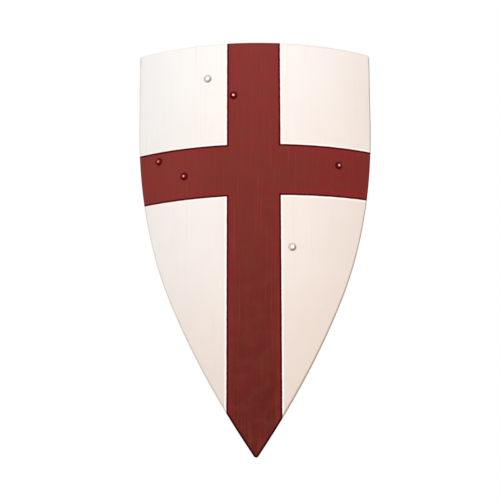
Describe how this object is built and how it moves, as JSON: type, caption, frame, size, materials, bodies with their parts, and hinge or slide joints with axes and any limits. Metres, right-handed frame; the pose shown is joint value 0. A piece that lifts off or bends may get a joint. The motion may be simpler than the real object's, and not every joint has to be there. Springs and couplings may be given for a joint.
{
  "type": "heater shield",
  "caption": "Bent plywood knight's heater shield with a red cross on white, carried on the left arm by leather straps.",
  "frame": {"origin": "middle of the forearm, on the shield's mirror plane, level with the middle of the cross and 42 mm behind the back of the board", "axes": "+Z towards the top edge, +Y from the face to the arm, +X towards the elbow: the face looks along -Y"},
  "size_m": [0.4392, 0.1118, 0.763],
  "materials": {
    "face_paint": "matte",
    "plywood": "satin",
    "red_bolt": "satin",
    "white_bolt": "satin",
    "zinc_steel": "satin",
    "brown_leather": "satin",
    "buckle_steel": "satin"
  },
  "bodies": {
    "board": {"front_ply": "face_paint", "core_ply": "plywood", "back_ply": "plywood", "bolt_grip_upper": "white_bolt", "washer_grip_upper": "zinc_steel", "cap_nut_grip_upper": "zinc_steel", "bolt_grip_lower": "red_bolt", "washer_grip_lower": "zinc_steel", "cap_nut_grip_lower": "zinc_steel", "bolt_wrist_upper": "red_bolt", "washer_wrist_upper": "zinc_steel", "cap_nut_wrist_upper": "zinc_steel", "bolt_wrist_lower": "red_bolt", "washer_wrist_lower": "zinc_steel", "cap_nut_wrist_lower": "zinc_steel", "bolt_arm_upper": "red_bolt", "washer_arm_upper": "zinc_steel", "cap_nut_arm_upper": "zinc_steel", "bolt_arm_lower": "white_bolt", "washer_arm_lower": "zinc_steel", "cap_nut_arm_lower": "zinc_steel", "grip_strap_upper_end": "brown_leather", "grip_strap_lower_end": "brown_leather", "wrist_strap_upper_end": "brown_leather", "wrist_strap_lower_end": "brown_leather", "arm_strap_upper_end": "brown_leather", "arm_strap_lower_end": "brown_leather"},
    "grip_strap": {"grip_strap_loop": "brown_leather"},
    "wrist_strap": {"wrist_strap_loop": "brown_leather"},
    "arm_strap": {"arm_strap_buckle_side": "brown_leather", "arm_strap_tail": "brown_leather", "arm_strap_keeper": "brown_leather"},
    "buckle_frame": {"buckle_frame": "buckle_steel"},
    "buckle_roller": {"buckle_roller": "buckle_steel"},
    "buckle_tongue": {"buckle_tongue": "buckle_steel"}
  },
  "joints": [
    {"name": "grip_swing", "type": "hinge", "parent": "board", "child": "grip_strap", "pos_m": [-0.12672, -0.00456, 0.10375], "axis": [-0.4963, 0.2065, -0.8433], "range_deg": [-25, 25], "stiffness_Nm_per_rad": 0.4, "deforming": ["grip_strap_upper_end", "grip_strap_lower_end"]},
    {"name": "wrist_swing", "type": "hinge", "parent": "board", "child": "wrist_strap", "pos_m": [-0.08075, -0.02006, 0.069], "axis": [-0.5036, 0.127, -0.8546], "range_deg": [-25, 25], "stiffness_Nm_per_rad": 0.4, "deforming": ["wrist_strap_upper_end", "wrist_strap_lower_end"]},
    {"name": "arm_swing", "type": "hinge", "parent": "board", "child": "arm_strap", "pos_m": [0.10564, -0.01277, -0.0625], "axis": [-0.459, -0.155, -0.8748], "range_deg": [-25, 25], "stiffness_Nm_per_rad": 0.5, "deforming": ["arm_strap_upper_end", "arm_strap_lower_end"]},
    {"name": "frame_pivot", "type": "hinge", "parent": "arm_strap", "child": "buckle_frame", "pos_m": [0.08801, 0.04453, -0.05885], "axis": [0.8642, 0.2919, -0.4098], "range_deg": [0, 8]},
    {"name": "roller_spin", "type": "hinge", "parent": "buckle_frame", "child": "buckle_roller", "pos_m": [0.07538, 0.05166, -0.08042], "axis": [0.8642, 0.2919, -0.4098], "continuous": true},
    {"name": "tongue_pivot", "type": "hinge", "parent": "buckle_frame", "child": "buckle_tongue", "pos_m": [0.08801, 0.04453, -0.05885], "axis": [0.8642, 0.2919, -0.4098], "range_deg": [0, 20]}
  ]
}
